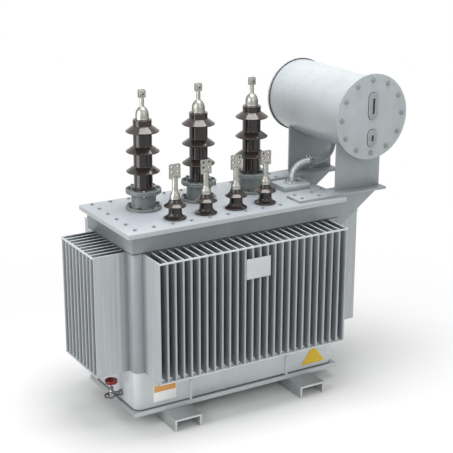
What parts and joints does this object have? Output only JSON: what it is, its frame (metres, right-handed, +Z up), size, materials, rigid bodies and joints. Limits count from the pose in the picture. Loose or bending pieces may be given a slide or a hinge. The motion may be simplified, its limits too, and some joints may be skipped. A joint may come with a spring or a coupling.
{
  "type": "power transformer",
  "caption": "Oil-filled power transformer with a corrugated tank, porcelain bushings on the cover, a drum conservator on brackets, skids and a drain valve with a handwheel.",
  "frame": {"origin": "on the floor, at the middle of the overall length and width", "axes": "+Z up, +X along the tank's long side towards the conservator, -Y towards the front side with the rating plate"},
  "size_m": [1.834, 0.884, 1.74],
  "materials": {
    "tank_paint": "semi-gloss light grey paint",
    "cover_paint": "semi-gloss pale blue-grey paint",
    "porcelain": "glossy dark brown glaze",
    "terminal_metal": "tinned, bright satin",
    "hose_metal": "satin grey",
    "valve_metal": "dull metal",
    "handwheel_paint": "red gloss paint",
    "plate_metal": "blank satin plate"
  },
  "bodies": {
    "transformer": {"skid_left": "tank_paint", "skid_right": "tank_paint", "base_plate": "tank_paint", "lower_band": "tank_paint", "fin_wall_front": "tank_paint", "fin_wall_back": "tank_paint", "fin_wall_left": "tank_paint", "fin_wall_right": "tank_paint", "corner_post_front_left": "tank_paint", "corner_post_front_right": "tank_paint", "corner_post_back_left": "tank_paint", "corner_post_back_right": "tank_paint", "top_frame": "tank_paint", "cover_plate": "cover_paint", "hv_turret_1": "tank_paint", "hv_turret_2": "tank_paint", "hv_turret_3": "tank_paint", "hv_insulator_1": "porcelain", "hv_insulator_2": "porcelain", "hv_insulator_3": "porcelain", "hv_terminal_1": "terminal_metal", "hv_terminal_2": "terminal_metal", "hv_terminal_3": "terminal_metal", "lv_insulator_1": "porcelain", "lv_insulator_2": "porcelain", "lv_insulator_3": "porcelain", "lv_insulator_4": "porcelain", "lv_terminal_1": "terminal_metal", "lv_terminal_2": "terminal_metal", "lv_terminal_3": "terminal_metal", "lv_terminal_4": "terminal_metal", "conservator_shell": "tank_paint", "conservator_end_front": "tank_paint", "conservator_end_back": "tank_paint", "level_gauge_upper": "tank_paint", "level_gauge_lower": "tank_paint", "saddle_front": "tank_paint", "saddle_back": "tank_paint", "bracket_front": "tank_paint", "bracket_back": "tank_paint", "pipe_pad": "tank_paint", "oil_pipe_lower": "hose_metal", "pipe_coupling": "hose_metal", "oil_pipe_upper": "tank_paint", "drain_valve": "valve_metal", "rating_plate": "plate_metal"},
    "handwheel": {"valve_handwheel": "handwheel_paint"}
  },
  "joints": [
    {"name": "drain_valve_stem", "type": "hinge", "parent": "transformer", "child": "handwheel", "pos_m": [-0.7883, -0.095, 0.16], "axis": [0, 0, 1], "range_deg": [0, 1620]}
  ]
}
